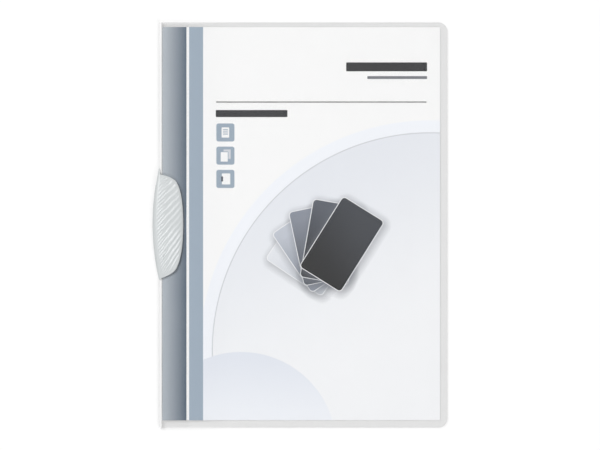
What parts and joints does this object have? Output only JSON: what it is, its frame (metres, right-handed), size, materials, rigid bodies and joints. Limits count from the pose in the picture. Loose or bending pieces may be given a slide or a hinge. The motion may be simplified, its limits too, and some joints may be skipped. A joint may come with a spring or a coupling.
{
  "type": "clip folder",
  "caption": "Clear document folder for A4 sheets, with a rippled plastic clip at the spine that swings out to release the papers and a front cover that opens.",
  "frame": {"origin": "centre of the folder's bounding box, on the surface that it lies on", "axes": "+X from the spine to the free edge, +Y up the page, +Z out of the front cover"},
  "size_m": [0.2228, 0.306, 0.0074],
  "materials": {
    "clear_film": "clear polypropylene film, glossy with a faint haze",
    "printed_paper": "white office paper with grey-blue print fields, matt",
    "white_plastic": "moulded off-white plastic, satin gloss",
    "rivet_plastic": "moulded off-white plastic, satin gloss"
  },
  "bodies": {
    "folder": {"back_cover": "clear_film", "title_sheet": "printed_paper", "pivot_rivet": "rivet_plastic"},
    "cover": {"front_cover": "clear_film"},
    "clip": {"swing_clip": "white_plastic"}
  },
  "joints": [
    {"name": "cover_open", "type": "hinge", "parent": "folder", "child": "cover", "pos_m": [-0.08463, 0, 0.0037], "axis": [0, -1, 0], "range_deg": [0, 150]},
    {"name": "clip_swing", "type": "hinge", "parent": "folder", "child": "clip", "pos_m": [-0.10303, 0.0352, 0.0006], "axis": [0, 0, -1], "range_deg": [0, 90]}
  ]
}
